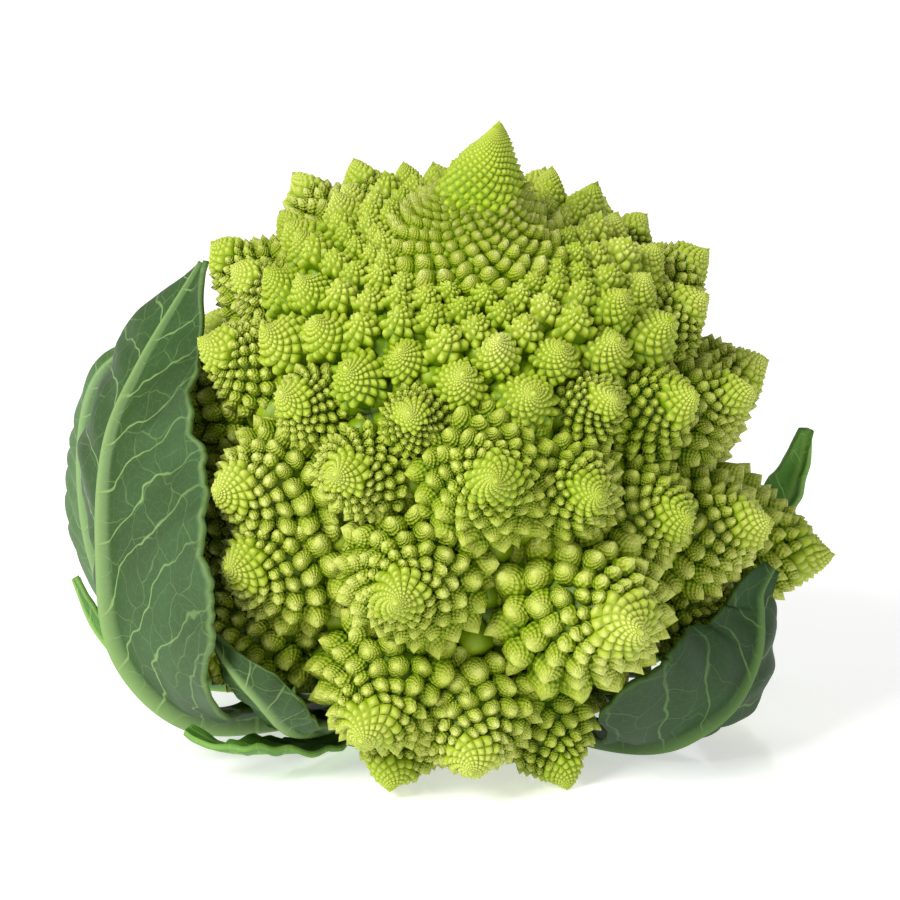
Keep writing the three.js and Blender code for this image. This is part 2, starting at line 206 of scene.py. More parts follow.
# Beads on cells whose corner points are cornerAt: between 4 corners a ring of 8 shoulders and a crown.
# A shoulder stands at middle + lift push + reach (cos a d0 + sin a d1), a being a multiple of
# 45 degrees and d0, d1 half the cell's diagonals. 20 triangles a cell; places are the same on the lattice.
def beadsOn(cornerAt, corners, cornerPlaces, middle, push, start):
    crown = start + np.arange(len(cornerAt))
    shoulder = start + len(crown) + np.arange(8 * len(crown)).reshape(-1, 8)
    eighths = np.arange(8) * math.pi / 4
    reach = bead["reach"] * np.stack([np.cos(eighths), np.sin(eighths)])

    def ringOf8(four, centre):
        return np.einsum("dj,cdx->cjx", reach, (four[:, :2] - four[:, 2:]) / 2) + centre[:, None]

    shoulders = ringOf8(corners, middle + bead["lift"] * push)
    crownPlaces = cornerPlaces.mean(axis=1)
    shoulderPlaces = ringOf8(cornerPlaces, crownPlaces)
    triangles = []
    places = []
    for i in range(4):
        j = (i + 1) % 4
        at = {"a": cornerAt[:, i], "b": cornerAt[:, j], "e": crown}
        on = {"a": cornerPlaces[:, i], "b": cornerPlaces[:, j], "e": crownPlaces}
        for name, s in (("p", 2 * i), ("q", 2 * i + 1), ("r", (2 * i + 2) % 8)):
            at[name] = shoulder[:, s]
            on[name] = shoulderPlaces[:, s]
        for three in ("abq", "aqp", "brq", "pqe", "qre"):
            triangles.append(np.stack([at[x] for x in three], axis=1))
            places.append(np.stack([on[x] for x in three], axis=1))
    return np.concatenate([middle + push, shoulders.reshape(-1, 3)]), triangles, places


# A body of revolution with a spiral lattice of (m, n) parastichies and a bead on each cell.
# Lattice point k is at azimuth k golden and conformal latitude k climb; the first m + n make the neck.
# A cell is "plain", of 2 triangles, or a "dome" with a bead that leans beadLean degrees to the tip;
# the lowest cells, hidden, stay bare. Fans close the root and the apex.
# Returns points, triangles, the painted shade and tone (0 in the valleys, their deeper green under painted
# shade; 1 on the crowns, painted light), along (0 widest, 1 tip) and uv, the steps along the finer lattice
# of its grains, for each corner of each triangle.
def spiralBody(m, n, outline, neck, root, closeAt, cell, beadHeight=0.0, beadLean=18.0, grains=None):
    turnM, turnN, climb = lattice(m, n)
    side = math.hypot(turnM, m * climb)  # of a cell, in radii
    golden = math.radians(head["golden"])
    radius, height = outline(np.linspace(0, 1, 400))
    angle = latitudes(radius, height)
    low = m + n
    closeAngle = np.interp(-closeAt, -radius, angle)
    count = max(2 * low, low + int(closeAngle / climb)) + 1

    def onOutline(k):
        latitude = (k - low) * climb
        r = np.where(k < low, radius[0] * (0.8 + 0.2 * k / low), np.interp(latitude, angle, radius))
        onNeck = neck + (height[0] - neck) * k / low
        return r, np.where(k < low, onNeck, np.interp(latitude, angle, height))

    k = np.arange(count)
    radiusAt, heightAt = onOutline(k)
    valley = 0.0 if cell == "plain" else bead["valley"] * side
    points = [around(radiusAt * np.where(k < low, 1, 1 - valley), heightAt, k * golden)]
    # the lattice points lie in the valleys: 0 there, their deeper green under painted shade; plain cones
    # take an even 0.5
    shadesAndTones = [np.full(count, 0.5 if cell == "plain" else 0.0)]

    first = np.arange(count - low)
    cornerAt = first[:, None] + np.array([0, n, m + n, m])
    turns = np.array([0, turnN, turnM + turnN, turnM])
    cornerPlaces = np.stack([first[:, None] * golden + turns, cornerAt * climb], axis=-1)
    bare = np.full(len(first), True) if cell == "plain" else first < 0.55 * low
    triangles = [cornerAt[bare][:, [0, 1, 2]], cornerAt[bare][:, [0, 2, 3]]]
    places = [cornerPlaces[bare][:, [0, 1, 2]], cornerPlaces[bare][:, [0, 2, 3]]]
    if not bare.all():
        beaded = first[~bare]
        centre = beaded + low / 2
        r, z = onOutline(centre)
        below, above = onOutline(centre - 1), onOutline(centre + 1)
        slope = np.arctan2(below[0] - above[0], above[1] - below[1]) + math.radians(beadLean)
        azimuth = beaded * golden + (turnM + turnN) / 2
        rng = np.random.default_rng(100 * m + n)
        draw = rng.normal(1, bead["unlike"], len(beaded)).clip(0.75, 1.25)
        push = beadHeight * side * (r * draw)[:, None] * around(np.cos(slope), np.sin(slope), azimuth)
        corners = points[0][cornerAt[~bare]]
        middle = around(r, z, azimuth)
        onBeads = beadsOn(cornerAt[~bare], corners, cornerPlaces[~bare], middle, push, count)
        points.append(onBeads[0])
        triangles += onBeads[1]
        places += onBeads[2]
        # crowns at 1, painted light; the shoulders in between
        shadesAndTones += [np.ones(len(beaded)), np.full(8 * len(beaded), bead["shoulderTone"])]
    points.append(np.array([[0, 0, height[-1]], [0, 0, root]]))
    # the apex painted light, the root painted shade
    shadesAndTones.append(np.array([1.0, 0.0]))
    points = np.concatenate(points)
    apex, foot = len(points) - 2, len(points) - 1

    v = np.arange(low)
    following = np.where(v < n, v + m, v - n)
    edge = np.where(v < n, [[turnM], [m * climb]], [[-turnN], [-n * climb]]).T
    last = count - 1
    for corner, other, sign, pole in ((v, following, 1, foot), (last - v, last - following, -1, apex)):
        triangles.append(np.stack([corner, other, np.full(low, pole)], axis=1))
        here = np.stack([corner * golden, corner * climb], axis=-1)
        there = here + sign * edge
        places.append(np.stack([here, there, (here + there) / 2 + [0, -sign * 0.8]], axis=1))
    triangles = np.concatenate(triangles)
    places = np.concatenate(places)
    if turnM > 0:
        triangles = triangles[:, ::-1]
        places = places[:, ::-1]
    along = np.clip((points[:, 2] - height[0]) / (height[-1] - height[0]), 0, 1)
    uv = latticeSteps(places[..., 0], places[..., 1], *grains) if grains else np.zeros(places.shape)
    return {
        "points": points,
        "faces": triangles,
        "tone": np.concatenate(shadesAndTones),
        "along": along,
        "uv": uv,
    }


# A floret's own outline, in sizes: radius 0.52 (1 - s^1.25), height 0.12 + 0.76 s
floretForm = {"radius": 0.52, "bottom": 0.12, "rise": 0.76, "power": 1.25, "neck": -0.3, "root": -0.5}


def floretOutline(s, power=floretForm["power"]):
    return floretForm["radius"] * (1 - s**power), floretForm["bottom"] + floretForm["rise"] * s


# A cone of unit size on the floret's outline, more rounded where power is higher
def latticeCone(m, n, closeAt, cell, beadHeight=0.0, power=floretForm["power"], grains=None):
    return spiralBody(
        m,
        n,
        lambda s: floretOutline(s, power=power),
        floretForm["neck"],
        floretForm["root"],
        closeAt * floretForm["radius"],
        cell,
        beadHeight,
        grains=grains,
    )


# Many copies of one body, each point p taken to size turn p + place; returns points, faces and uv
def copies(body, sizes, turns, places):
    points = np.einsum("cij,pj->cpi", turns, body["points"]) * sizes[:, None, None] + places[:, None, :]
    count = len(body["points"])
    faces = body["faces"][None] + (np.arange(len(sizes)) * count)[:, None, None]
    uv = np.tile(body["uv"], (len(sizes), 1, 1))
    return points.reshape(-1, 3), faces.reshape(-1, 3), uv


# Joins bodies of points, faces, painted shade and tone, grain and uv into one
def join(bodies):
    offsets = np.cumsum([0] + [len(body["points"]) for body in bodies[:-1]])
    keys = ("points", "tone", "grain", "uv")
    joined = {key: np.concatenate([body[key] for body in bodies]) for key in keys}
    joined["faces"] = np.concatenate([body["faces"] + offset for body, offset in zip(bodies, offsets)])
    return joined


# A body with its painted shade and tone, and with grain dots of one strength all over
def withShadeAndTone(body, tone, grain=0.0):
    return {**body, "tone": tone, "grain": np.full(len(body["points"]), grain)}


# How the smaller cones sit on a floret, with the spread of their draws
budding = {
    "packing": 0.82,  # share of a square of side "width" that one cone takes up
    "below": 0.55,  # latitude under the floret's widest place where the cones start
    "rise": 16.0,  # tilt towards the tip, degrees
    "sink": 0.32,  # of a cone's foot into the floret, in cone sizes
    "turnSpread": 0.02,  # radians
    "sizeSpread": 0.05,
    "riseSpread": 0.05,  # radians
}


# A floret of unit size made of smaller cones: cone j at azimuth j golden and latitude j step,
# step = packing width^2 / (2 pi), its size = width x the local radius; then a beaded tip.
# rows: bodies for the cones, each used while the local radius is over its limit (in floret radii)
def budded(rows, width, tipFrom, tip, seed):
    rng = np.random.default_rng(seed)
    s = np.linspace(0, 1, 400)
    radius, height = floretOutline(s)
    angle = latitudes(radius, height)
    step = budding["packing"] * width**2 / (2 * math.pi)
    stop = np.interp(-tipFrom * radius[0], -radius, angle)
    j = np.arange(-int(budding["below"] / step), int(stop / step))
    latitude = j * step
    r = np.where(latitude < 0, radius[0] * (1 + 0.25 * latitude), np.interp(latitude, angle, radius))
    z = np.where(latitude < 0, height[0] + radius[0] * latitude, np.interp(latitude, angle, height))
    azimuth = np.radians(j * head["golden"]) + rng.normal(0, budding["turnSpread"], len(j))
    size = width * r * rng.normal(1, budding["sizeSpread"], len(j)).clip(0.88, 1.12)
    ahead, behind = latitude + 0.2, latitude - 0.2
    inwards = np.interp(behind, angle, radius) - np.interp(ahead, angle, radius)
    upwards = np.interp(ahead, angle, height) - np.interp(behind, angle, height)
    rise = np.where(latitude < 0, 0.1 + 0.5 * latitude, np.arctan2(inwards, upwards))
    rise = rise + math.radians(budding["rise"])
    rise = rise + rng.normal(0, budding["riseSpread"], len(j))
    axes = around(np.cos(rise), np.sin(rise), azimuth)
    places = around(r, z, azimuth) - axes * size[:, None] * budding["sink"]
    turns = np.array([turnTo(axis) @ spinBy(rng.uniform(0, 2 * math.pi)) for axis in axes])
    share = r / radius[0]
    upFloret = np.clip((z - height[0]) / (height[-1] - height[0]), 0, 1)
    bodies = []
    upper = np.inf
    for limit, body in rows:
        used = (share > limit) & (share <= upper)
        upper = limit
        if not used.any():
            continue
        points, faces, uv = copies(body, size[used], turns[used], places[used])
        # dark between the cones, lighter up each cone and towards the floret's tip: their own deeper green
        # and paler tips, with painted shade between the cones and painted light up them
        own = 0.13 + 0.56 * smooth(body["along"] * 1.15)
        tone = own[None, :] + 0.22 * upFloret[used][:, None]
        grain = np.tile(smooth(1.6 - 1.6 * body["along"]), len(size[used]))
        parts = {"points": points, "faces": faces, "uv": uv}
        bodies.append({**parts, "tone": tone.reshape(-1), "grain": grain})
    start = float(np.interp(-tipFrom * 1.12 * radius[0], -radius, s))

    def tipOutline(t):
        return floretOutline(start + (1 - start) * t)

    wide, foot = tipOutline(0.0)
    neck, root = foot - 0.6 * wide, foot - 0.9 * wide
    point = spiralBody(*tip, tipOutline, neck, root, 0.12 * wide, "dome", 0.7, 22)
    # the tip's beads: painted shade in their valleys, painted light on the crowns and towards the top
    bodies.append(withShadeAndTone(point, 0.12 + 0.52 * point["tone"] + 0.30 * point["along"]))
    # a cone inside at the darkest end of the ramp: painted shade in the gaps between the smaller cones
    inner = latticeCone(5, 8, 0.2, "plain")
    inner["points"] = inner["points"] * [0.86, 0.86, 0.93]
    bodies.append(withShadeAndTone(inner, np.zeros(len(inner["points"]))))
    return join(bodies)


# A floret of unit size covered in beads alone: from the valleys to the crowns and to the tip it grows
# paler, its own colour with painted shade in the valleys and painted light on the crowns and tip
def beadedFloret(m, n, closeAt, cell, beadHeight, power):
    body = latticeCone(m, n, closeAt, cell, beadHeight, power)
    return withShadeAndTone(body, 0.62 * body["tone"] * smooth(0.45 + body["along"]) + 0.34 * body["along"])


# From the head's own frame to the table's: a turn about X by the lean, then a lift
def onTable(points):
    lean = math.radians(head["lean"])
    c, s = math.cos(lean), math.sin(lean)
    x, y, z = points.T
    lift = head["lift"]
    return np.stack([x, c * y - s * z - lift * math.tan(lean), s * y + c * z + lift], axis=1)


# A mesh object at the origin from points in mm, with attributes on its points
def meshOf(name, points, faces, material, attributes=None, uv=None):
    mesh = bpy.data.meshes.new(name)
    mesh.vertices.add(len(points))
    mesh.vertices.foreach_set("co", (np.asarray(points) / 1000).astype(np.float32).ravel())
    sides = faces.shape[1]
    mesh.loops.add(faces.size)
    mesh.loops.foreach_set("vertex_index", faces.astype(np.int32).ravel())
    mesh.polygons.add(len(faces))
    mesh.polygons.foreach_set("loop_start", np.arange(0, faces.size, sides, dtype=np.int32))
    mesh.polygons.foreach_set("use_smooth", np.ones(len(faces), bool))
    mesh.update(calc_edges=True)
    if uv is not None:
        mesh.uv_layers.new(name="spiral").data.foreach_set("uv", uv.astype(np.float32).ravel())
    for key, values in (attributes or {}).items():
        layer = mesh.attributes.new(key, "FLOAT", "POINT")
        layer.data.foreach_set("value", values.astype(np.float32))
    mesh.validate()
    mesh.materials.append(material)
    piece = bpy.data.objects.new(name, mesh)
    bpy.context.scene.collection.objects.link(piece)
    return piece


# A hex colour as linear light: c / 12.92, or ((c + 0.055) / 1.055)^2.4 above 0.04045
def linear(hexColour):
    values = [int(hexColour[i : i + 2], 16) / 255 for i in (1, 3, 5)]
    light = [v / 12.92 if v <= 0.04045 else ((v + 0.055) / 1.055) ** 2.4 for v in values]
    return (*light, 1.0)


# A node with its settings and its inputs: numbers, colours, other nodes' outputs, a ramp's stops.
# Returns the output with that name or number
def addNode(tree, kind, inputs=None, output=0, stops=(), **settings):
    node = tree.nodes.new("ShaderNode" + kind)
    for key, value in settings.items():
        setattr(node, key, value)
    for key, value in (inputs or {}).items():
        if isinstance(value, bpy.types.NodeSocket):
            tree.links.new(value, node.inputs[key])
        else:
            node.inputs[key].default_value = value
    for number, (place, colour) in enumerate(stops):
        elements = node.color_ramp.elements
        element = elements[number] if number < len(elements) else elements.new(place)
        element.position = place
        element.color = linear(colour)
    return node.outputs[output] if len(node.outputs) else None


# An empty material, and addNode for its tree
def newMaterial(name):
    material = bpy.data.materials.new(name)
    material.use_nodes = True
    material.node_tree.nodes.clear()
    return material, partial(addNode, material.node_tree)


curdLook = {
    "clouds": 55.0,  # a metre: lighter and darker patches 18 mm wide
    "pores": 1400.0,  # a metre: unevenness of the skin 0.7 mm wide
    "cloudTone": 0.40,
    "floretTone": 0.12,
    # the dots lighten the grains and darken the gaps: painted shade between them
    "dotTone": 0.20,
    "relief": 0.00025,  # metres, of the dots
}


# Curd of a romanesco: lime beads, deep green valleys, pale crowns, the valleys darkened with painted shade
# and the crowns lit with painted light; the outer cones are dotted with grains under a millimetre in
# spiral rows, with painted shade between them; a waxy skin with a soft, broken gloss
def curdMaterial():
    material, add = newMaterial("curd tissue")
    tone = add("Attribute", output="Fac", attribute_name="tone")
    draw = add("Attribute", output="Fac", attribute_name="draw")
    grain = add("Attribute", output="Fac", attribute_name="grain")
    place = add("TexCoord", output="Object")
    spiral = add("UVMap", uv_map="spiral")
    # dots = (cos 2 pi a + cos 2 pi b) / 2, 1 on each grain and -1 between them
    waves = []
    for axis in ("X", "Y"):
        steps = add("SeparateXYZ", {0: spiral}, axis)
        turns = add("Math", {0: steps, 1: 2 * math.pi}, operation="MULTIPLY")
        waves.append(add("Math", {0: turns}, operation="COSINE"))
    dots = add("Math", {0: waves[0], 1: waves[1]}, operation="ADD")
    dots = add("Math", {0: dots, 1: 0.5}, operation="MULTIPLY")
    dots = add("Math", {0: dots, 1: grain}, operation="MULTIPLY")
    clouds = add("TexNoise", {"Vector": place, "Scale": curdLook["clouds"], "Detail": 2.0})
    pores = add("TexNoise", {"Vector": place, "Scale": curdLook["pores"], "Detail": 2.0})
    # level = the painted shade and tone + the dots' share, painted shade between the grains, + the shares
    # of clouds and of the floret's own draw, round 0
    level = tone
    for value, share in ((dots, "dotTone"), (clouds, "cloudTone"), (draw, "floretTone")):
        level = add("Math", {0: value, 1: curdLook[share], 2: level}, operation="MULTIPLY_ADD")
    middle = (curdLook["cloudTone"] + curdLook["floretTone"]) / 2
    level = add("Math", {0: level, 1: middle}, operation="SUBTRACT", use_clamp=True)
    stops = [
        (0.0, "#587800"),
        (0.16, "#719002"),
        (0.38, "#92A812"),
        (0.60, "#AAB83A"),
        (0.82, "#C2CA64"),
        (1.0, "#DEE09A"),
    ]
    height = add("Math", {0: pores, 1: 0.25, 2: dots}, operation="MULTIPLY_ADD")
    shader = add(
        "BsdfPrincipled",
        {
            "Base Color": add("ValToRGB", {"Fac": level}, stops=stops),
            "Roughness": add("Math", {0: clouds, 1: 0.25, 2: 0.34}, operation="MULTIPLY_ADD"),
            "Normal": add("Bump", {"Strength": 1.0, "Distance": curdLook["relief"], "Height": height}),
            "IOR": 1.42,
            "Subsurface Weight": 0.10,
            "Subsurface Radius": (0.6, 1.0, 0.2),
            "Subsurface Scale": 0.0012,
        },
    )
    add("OutputMaterial", {0: shader})
    return material


# Tissue of the cut stump: pale green in soft patches 11 mm wide, with faint lengthwise fibres
# 1.1 mm apart and 17 mm long
def stemMaterial():
    material, add = newMaterial("stem tissue")
    place = add("TexCoord", output="Object")
    stretched = add("Mapping", {"Vector": place, "Scale": (900.0, 900.0, 60.0)})
    fibres = add("TexNoise", {"Vector": stretched, "Scale": 1.0, "Detail": 3.0})
    clouds = add("TexNoise", {"Vector": place, "Scale": 90.0, "Detail": 3.0})
    level = add("Math", {0: clouds, 1: 0.6}, operation="MULTIPLY")
    level = add("Math", {0: fibres, 1: 0.4, 2: level}, operation="MULTIPLY_ADD")
    stops = [(0.25, "#93AC58"), (0.5, "#B9CB86"), (0.8, "#D9E2B4")]
    shader = add(
        "BsdfPrincipled",
        {
            "Base Color": add("ValToRGB", {"Fac": level}, stops=stops),
            "Roughness": 0.55,
            "Normal": add("Bump", {"Strength": 0.5, "Distance": 0.0003, "Height": fibres}),
            "IOR": 1.42,
        },
    )
    add("OutputMaterial", {0: shader})
    return material


# Where each piece of the curd starts, counted in florets from the lowest up
curdPieces = {
    "curd_lowest_florets": 0,
    "curd_low_florets": 12,
    "curd_middle_florets": 24,
    "curd_upper_florets": 44,
    "curd_crown_florets": 84,
}


# Kinds of floret: each takes those over its size in mm, with its shapes in turn
def floretKinds():
    outer = latticeCone(5, 8, 0.35, "plain", power=1.3, grains=(8, 13))
    upper = latticeCone(3, 5, 0.34, "plain", power=1.35, grains=(5, 8))
    small = latticeCone(5, 8, 0.30, "plain", power=1.6, grains=(8, 13))
    large = [budded([(0.62, outer), (0.0, upper)], 0.45, 0.36, (8, 13), 11 + v) for v in range(3)]
    middling = [budded([(0.0, upper)], 0.38, 0.46, (8, 13), 21 + v) for v in range(2)]
    return [
        (23.0, large),
        (15.0, middling),
        (9.0, [beadedFloret(8, 13, 0.12, "dome", 0.75, 1.12)]),
        (5.2, [beadedFloret(5, 8, 0.2, "dome", 0.65, 1.15)]),
        # the smallest florets grow paler to the tip: partly their own colour, partly painted light
        (0.0, [withShadeAndTone(small, 0.16 + 0.72 * small["along"], 0.5)]),
    ]


# The curd: florets by size on the beaded core, and the spire
def makeCurd():
    material = curdMaterial()
    kinds = floretKinds()
    florets = placeFlorets()

    def bodyOf(floret):
        shapes = next(shapes for over, shapes in kinds if floret["size"] > over)
        body = shapes[floret["index"] % len(shapes)]
        # no two florets are quite alike: each is a little longer or shorter, the small ones taller
        stretch = 0.94 + 0.14 * scatter(floret["index"], 3) + (0.22 if floret["size"] < 10 else 0)
        points = floret["size"] * body["points"] * [1, 1, stretch] @ floret["turn"].T + floret["foot"]
        draw = np.full(len(points), scatter(floret["index"], 5))
        return {**body, "points": points}, draw

    ends = [*list(curdPieces.values())[1:], len(florets)]
    for (name, start), end in zip(curdPieces.items(), ends):
        bodies = [bodyOf(floret) for floret in florets[start:end]]
        if name == "curd_crown_florets":
            bodies += [(body, np.full(len(body["points"]), 0.5)) for body in (coreBody(), spireBody())]
        joined = join([body for body, draw in bodies])
        attributes = {
            "tone": np.clip(joined["tone"], 0, 1),
            "grain": joined["grain"],
            "draw": np.concatenate([draw for body, draw in bodies]),
        }
        points = uneven(onTable(joined["points"]))
        piece = meshOf(name, points, joined["faces"], material, attributes, joined["uv"])
        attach(piece, "root")
        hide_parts("curd")
        print(name, len(joined["faces"]), "triangles")


# Growth is never even: every coordinate moves by up to 0.4 mm, in waves about 9 mm long
def uneven(points):
    x, y, z = points.T
    waves = [
        np.sin(0.61 * y + 0.33 * z),
        np.sin(0.57 * z + 0.41 * x + 1),
        np.sin(0.66 * x + 0.29 * y + 2),
    ]
    return points + 0.4 * np.stack(waves, axis=1)


# A body of beads on the growth surface from one arc up to another, with its axis bent
def growthBody(m, n, start, end, neck, root, closeAt, beadHeight, beadLean):
    def outline(s):
        arc = start + (end - start) * s
        return growthAt(arc, 0), growthAt(arc, 1)

    body = spiralBody(m, n, outline, neck, root, closeAt, "dome", beadHeight, beadLean)
    body["points"][:, 0] += bendAt(body["points"][:, 2])
    return body


# The spire's top: a lattice of (13, 21) beads on the growth surface up to the apex
def spireBody():
    low = float(growthAt(head["spireArc"], 1))
    body = growthBody(13, 21, head["spireArc"], 0.0, low - 4, low - 8, 0.8, 0.75, 20)
    # painted shade in the valleys between its beads, painted light on the crowns and towards the apex
    return withShadeAndTone(body, 0.50 * body["tone"] + 0.30 * body["along"])


# The inner body under the florets, itself covered in beads by a (21, 34) lattice; kept at the dark end of
# the ramp, its deep green with painted shade under the florets
def coreBody():
    body = growthBody(21, 34, float(arcs[-1]), 12.0, 20.0, 15.0, 7.0, 0.6, 10)
    return withShadeAndTone(body, 0.02 + 0.30 * body["tone"])


makeCurd()
print("stage: curd")


# Leaves: the blade's construction as in the solids, on a finer grid. In mm and degrees: the rib's points;
# face, where the inner face looks at the foot and the tip; each half's widths and bends along the rib;
# the ripple of the edge, its teeth and the height of the rib's ridge at the foot
leafTable = {
    "leaf_left_outer": {
        "rib": [
            [-17.5, -14, 8],
            [-38, -40, 10],
            [-62.5, -56, 13.5],
            [-76.5, -59, 28.5],
            [-80.5, -54, 52],
            [-79.5, -46, 75],
            [-73.5, -38, 89.5],
            [-60, -24, 112],
        ],
        "face": [[0, 0, 1], [0.7, 0.65, -0.3]],
        "widths": [[4, 4, 6, 10, 34, 46, 43, 37, 26, 14, 3], [4, 4, 5, 6, 8, 13, 18, 24, 27, 20, 3]],
        "bends": [[60, 20, 5, 0, -10, -20], [60, 30, 55, 45, 25]],
        "waves": 5,
        "waveHeight": 1.6,
        "teeth": 13,
        "ribHeight": 5,
        "kind": "glaucous",
    },
    "leaf_left_back": {
        "rib": [
            [-20, 6, 6],
            [-50, 4, 8],
            [-78, 0, 16],
            [-88.5, -2, 38],
            [-91, 0, 66],
            [-87.5, 3, 80],
            [-80, 6, 87],
        ],
        "face": [[0, 0, 1], [0.75, 0.65, 0]],
        "widths": [[4, 5, 9, 15, 17, 15, 9, 2], [4, 5, 9, 15, 17, 15, 9, 2]],
        "bends": [[20], [40]],
        "waves": 2.5,
        "waveHeight": 1.5,
        "teeth": 6,
        "ribHeight": 3,
        "kind": "pale",
    },
    "leaf_left_inner": {
        "rib": [[-20, -3, 6], [-50, -12, 8], [-76, -20, 14], [-86, -19, 23], [-92, -15, 35]],
        "face": [[0, 0, 1], [0.8, 0.4, 0.3]],
        "widths": [[4, 6, 9, 9, 2], [4, 6, 9, 9, 2]],
        "bends": [[30], [30]],
        "waves": 2,
        "waveHeight": 0.8,
        "teeth": 5,
        "ribHeight": 2.5,
        "kind": "young",
    },
    "leaf_left_small": {
        "rib": [
            [-10, -26, 7.6],
            [-26, -46, 9],
            [-38, -68, 13],
            [-44, -82, 23],
            [-50, -85, 31],
            [-55, -80, 37.5],
        ],
        "face": [[0, 0, 1], [0.4, 0.8, 0.3]],
        "widths": [[3, 4, 6, 9, 9, 7, 1.5], [3, 4, 5, 7, 7, 5, 1.5]],
        "bends": [[0, 20, 30, 30], [0, 20, 30, 30]],
        "waves": 3,
        "waveHeight": 0.8,
        "teeth": 7,
        "ribHeight": 2.5,
        "kind": "glaucous",
    },
    "leaf_left_low": {
        "rib": [[-14, -20, 2.8], [-30, -45, 3.2], [-43, -62, 6.6], [-54, -69, 9], [-62, -67, 12.5]],
        "face": [[0, 0, 1], [0.1, 0.1, 1]],
        "widths": [[3, 5, 9, 10, 8, 2], [3, 4, 6, 7, 6, 2]],
        "bends": [[20], [10]],
        "waves": 3,
        "waveHeight": 0.8,
        "teeth": 6,
        "ribHeight": 1.5,
        "kind": "young",
    },
    "leaf_right_front": {
        "rib": [
            [14, -16, 5],
            [31, -40, 4],
            [44, -52, 5.5],
            [52, -58.5, 9.5],
            [61, -59.5, 16.5],
            [67, -55.5, 27],
            [68, -51.5, 35.5],
            [68, -50, 40],
            [71, -48, 45.5],
        ],
        "face": [[0, 0, 1], [-0.5, 0.85, 0.1]],
        "widths": [[4, 4.5, 7.5, 14, 16, 12, 8, 2], [4, 4, 5, 13, 30, 27, 14, 2]],
        "bends": [[30, 40, 30], [40, 20, 10, 0]],
        "waves": 4,
        "waveHeight": 1.2,
        "teeth": 10,
        "ribHeight": 4,
        "kind": "dark",
    },
    "leaf_right_back": {
        "rib": [[20, 6, 6], [50, 24, 8], [71, 30, 18], [79, 24, 40], [83, 18, 54], [84.5, 15, 65]],
        "face": [[0, 0, 1], [-0.35, -0.9, 0.1]],
        "widths": [[4, 7, 12, 13, 8, 1.5], [4, 6, 8, 6, 3, 1.5]],
        "bends": [[20], [30]],
        "waves": 2.5,
        "waveHeight": 1,
        "teeth": 7,
        "ribHeight": 2.5,
        "kind": "young",
    },
    "leaf_right_small": {
        "rib": [[20, -6, 5], [40, -22, 5], [54, -33, 6], [62, -36, 9.5], [69, -36, 13.5]],
        "face": [[0, 0, 1], [-0.4, 0.2, 0.85]],
        "widths": [[3, 5, 7, 6, 1.5], [3, 5, 7, 6, 1.5]],
        "bends": [[30], [30]],
        "waves": 2,
        "waveHeight": 0.6,
        "teeth": 5,
        "ribHeight": 2,
        "kind": "dark",
    },
}
bladeThickness = 1.4  # mm


# Values evenly spaced over 0..1, read at s by straight lines
def spread(values, s):
    return np.interp(s, np.linspace(0, 1, len(values)), values)


# Vectors of length 1
def unit(v):
    return v / np.linalg.norm(v, axis=-1, keepdims=True)


# A centripetal Catmull-Rom curve through the points (knots at distance^0.5), read at shares of its length.
# Each span is the cubic x1 + slope1 w + c2 w^2 + c3 w^3; returns points, tangents and the length
def ribCurve(knots, s):
    p = np.array(knots, float)
    p = np.concatenate([[2 * p[0] - p[1]], p, [2 * p[-1] - p[-2]]])
    step = np.sqrt(np.linalg.norm(np.diff(p, axis=0), axis=1))
    spans = len(knots) - 1
    t = np.linspace(0, spans, 200 * spans + 1)
    i = np.minimum(t.astype(int), spans - 1)
    w = (t - i)[:, None]
    x0, x1, x2, x3 = p[i], p[i + 1], p[i + 2], p[i + 3]
    d0, d1, d2 = [step[i + q][:, None] for q in range(3)]
    slope1 = ((x1 - x0) / d0 - (x2 - x0) / (d0 + d1) + (x2 - x1) / d1) * d1
    slope2 = ((x2 - x1) / d1 - (x3 - x1) / (d1 + d2) + (x3 - x2) / d2) * d1
    c2 = -3 * x1 + 3 * x2 - 2 * slope1 - slope2
    c3 = 2 * x1 - 2 * x2 + slope1 + slope2
    points = x1 + slope1 * w + c2 * w**2 + c3 * w**3
    tangents = slope1 + 2 * c2 * w + 3 * c3 * w**2
    run = np.concatenate([[0], np.cumsum(np.linalg.norm(np.diff(points, axis=0), axis=1))])
    where = np.interp(s * run[-1], run, t)
    at = [np.interp(where, t, points[:, c]) for c in range(3)]
    along = [np.interp(where, t, tangents[:, c]) for c in range(3)]
    return np.stack(at, axis=-1), unit(np.stack(along, axis=-1)), run[-1]


# The blade's half width as a share, at s along the rib and on one side of it:
# 1 + coarse lobes and fine teeth that die out over the last sixth
def edgeShare(s, side, teeth):
    strength = 0.65 + 0.35 * np.sin(17 * s)
    coarse = 0.045 * strength * np.cos(2 * math.pi * teeth * s + 1.6 * np.sin(9 * s + side))
    fine = 0.018 * np.abs(np.sin(2 * math.pi * teeth * 1.7 * s + 1.3 * side))
    return 1 + (coarse + fine) * np.minimum(1, 6 * (1 - s))


